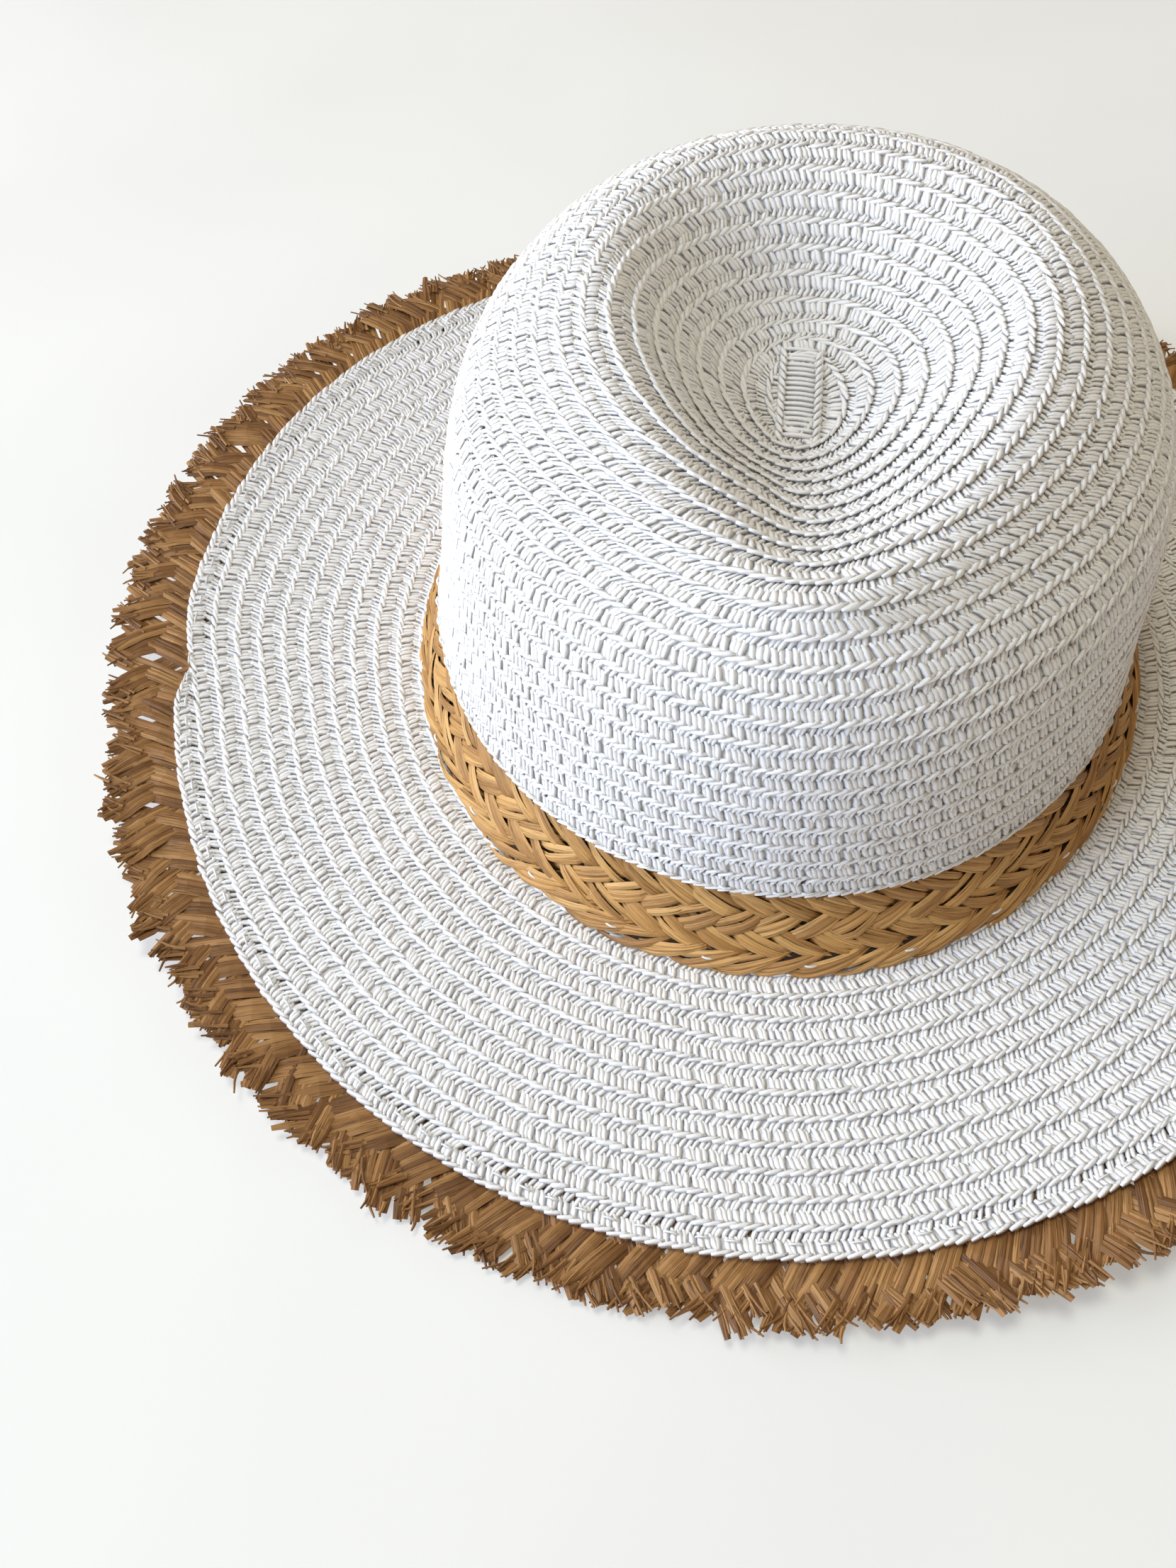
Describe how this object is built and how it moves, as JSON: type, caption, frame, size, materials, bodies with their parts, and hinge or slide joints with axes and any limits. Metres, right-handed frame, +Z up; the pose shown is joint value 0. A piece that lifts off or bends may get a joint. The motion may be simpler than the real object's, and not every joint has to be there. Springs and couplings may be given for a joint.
{
  "type": "sun hat",
  "caption": "Wide-brimmed straw sun hat with a teardrop-dented crown, a flat raffia plait band and a cut raffia fringe around the brim.",
  "frame": {"origin": "centre of the footprint, at the height of the brim's lowest point", "axes": "+Z up out of the top of the crown, -Y towards the front of the hat, +X towards the wearer's left"},
  "size_m": [0.348, 0.3726, 0.1132],
  "materials": {
    "white_braid": "matte twisted paper braid",
    "tan_raffia": "satin flat raffia ribbon",
    "ribbon": "matte ribbed weave",
    "thread": "matte spun polyester"
  },
  "bodies": {
    "root": {"crown_braid": "white_braid", "brim_braid": "white_braid", "hat_band_plait": "tan_raffia", "fringe_plait": "tan_raffia", "sweatband": "ribbon", "sweatband_tab": "ribbon", "crown_edge_thread": "thread", "band_edge_thread": "thread", "fringe_thread": "thread", "sweatband_thread": "thread"}
  },
  "joints": []
}
